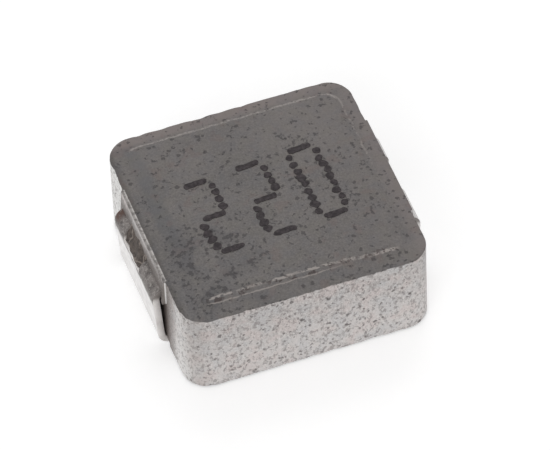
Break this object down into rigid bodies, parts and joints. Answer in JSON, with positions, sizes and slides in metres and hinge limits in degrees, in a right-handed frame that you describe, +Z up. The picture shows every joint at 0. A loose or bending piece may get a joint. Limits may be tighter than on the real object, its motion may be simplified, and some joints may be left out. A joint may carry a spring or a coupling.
{
  "type": "shielded smd power inductor",
  "caption": "Square low-profile moulded power inductor: a metal-powder block pressed round a flat-wire coil, with folded tinned terminals at opposite ends.",
  "frame": {"origin": "on the board plane under the middle of the part, level with the undersides of both feet", "axes": "+X from the left terminal to the right one, +Z up out of the board, the code reads along +X"},
  "size_m": [0.011, 0.01, 0.004],
  "materials": {
    "powder_compound": "pressed iron-alloy powder with binder: matt dark grey top and base, side walls burnished to light speckled grey",
    "enamelled_copper": "flat copper wire under clear enamel",
    "tinned_copper": "satin tin plate on copper sheet, dull and cracked on the outside of the folds",
    "ink": "matt dark ink in dots"
  },
  "bodies": {
    "root": {"moulded_body": "powder_compound", "coil": "enamelled_copper", "terminal_left": "tinned_copper", "terminal_right": "tinned_copper", "marking": "ink"}
  },
  "joints": []
}
